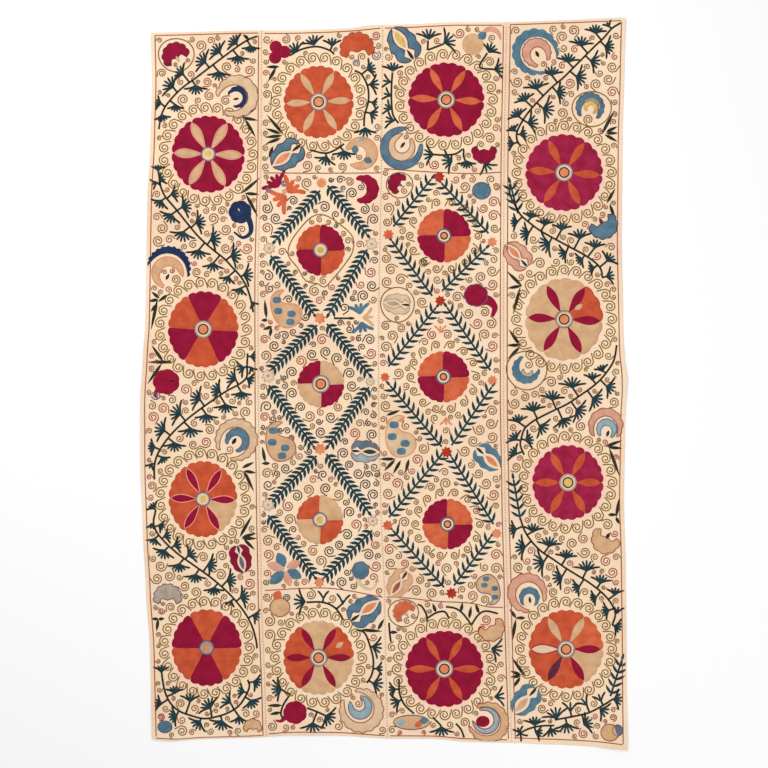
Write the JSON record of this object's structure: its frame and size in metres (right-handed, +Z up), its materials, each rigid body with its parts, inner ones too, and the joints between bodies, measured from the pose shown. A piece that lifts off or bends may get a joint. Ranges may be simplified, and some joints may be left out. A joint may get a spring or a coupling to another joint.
{
  "type": "suzani embroidered textile",
  "caption": "Flat embroidered cotton hanging of sewn loom-width strips with hemmed edges and slightly raised silk rosettes.",
  "frame": {"origin": "on the surface that the cloth lies on, under the middle of its outline", "axes": "+Z up out of the embroidered face, +Y towards the top edge, +X towards the right edge seen from above"},
  "size_m": [1.5558, 2.3397, 0.0073],
  "materials": {
    "cotton_ground": "hand-loomed undyed cotton, aged cream",
    "silk_crimson": "couched silk, madder and cochineal red",
    "silk_orange": "couched silk, madder orange",
    "silk_tan": "couched silk, faded gold",
    "silk_blue": "couched silk, mid indigo",
    "silk_navy": "couched silk, deep indigo",
    "silk_pink": "couched silk, faded pink",
    "silk_leaf": "couched silk, dark blue green",
    "silk_dark": "couched silk, brown black",
    "silk_scroll": "chain stitched silk, ochre brown",
    "silk_line": "chain stitched silk, faded red brown",
    "sewing_thread": "undyed cotton sewing thread"
  },
  "bodies": {
    "root": {"strip_left_border": "cotton_ground", "strip_centre_left": "cotton_ground", "strip_centre_right": "cotton_ground", "strip_right_border": "cotton_ground"}
  },
  "joints": []
}
